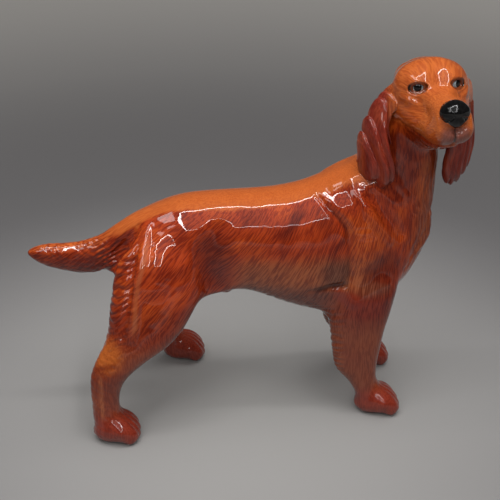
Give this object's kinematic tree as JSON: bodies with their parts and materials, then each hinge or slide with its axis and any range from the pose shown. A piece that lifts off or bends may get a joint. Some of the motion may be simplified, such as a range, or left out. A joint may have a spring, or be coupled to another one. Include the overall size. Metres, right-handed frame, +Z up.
{
  "type": "dog figurine",
  "caption": "Standing setter dog figurine in glossy glazed ceramic, slip-cast and luted, head turned to its right, drop ears and a straight tail.",
  "frame": {"origin": "centre of the bounding box at the height of the soles", "axes": "+X from the tail towards the chest, +Y to the dog's left, +Z up; the head is turned towards -Y"},
  "size_m": [0.1808, 0.0784, 0.1499],
  "materials": {
    "chestnut_glaze": "glossy clear glaze over chestnut and orange-brown painted coat",
    "face_glaze": "glossy clear glaze over orange-brown paint",
    "ear_glaze": "glossy clear glaze over dark mahogany paint",
    "leg_glaze": "glossy clear glaze over red-brown paint",
    "luting_slip": "fired slip under the same glaze",
    "black_enamel": "glossy fired black enamel",
    "iris_enamel": "glossy fired pale grey-blue enamel"
  },
  "bodies": {
    "root": {"torso": "chestnut_glaze", "head": "face_glaze", "left_ear": "ear_glaze", "right_ear": "ear_glaze", "tail": "chestnut_glaze", "left_foreleg": "leg_glaze", "right_foreleg": "leg_glaze", "left_hind_leg": "leg_glaze", "right_hind_leg": "leg_glaze", "neck_seam": "luting_slip", "left_ear_seam": "luting_slip", "right_ear_seam": "luting_slip", "tail_seam": "luting_slip", "left_foreleg_seam": "luting_slip", "right_foreleg_seam": "luting_slip", "left_hind_seam": "luting_slip", "right_hind_seam": "luting_slip", "nose_enamel": "black_enamel", "left_eye_enamel": "iris_enamel", "right_eye_enamel": "iris_enamel", "left_pupil": "black_enamel", "right_pupil": "black_enamel"}
  },
  "joints": []
}
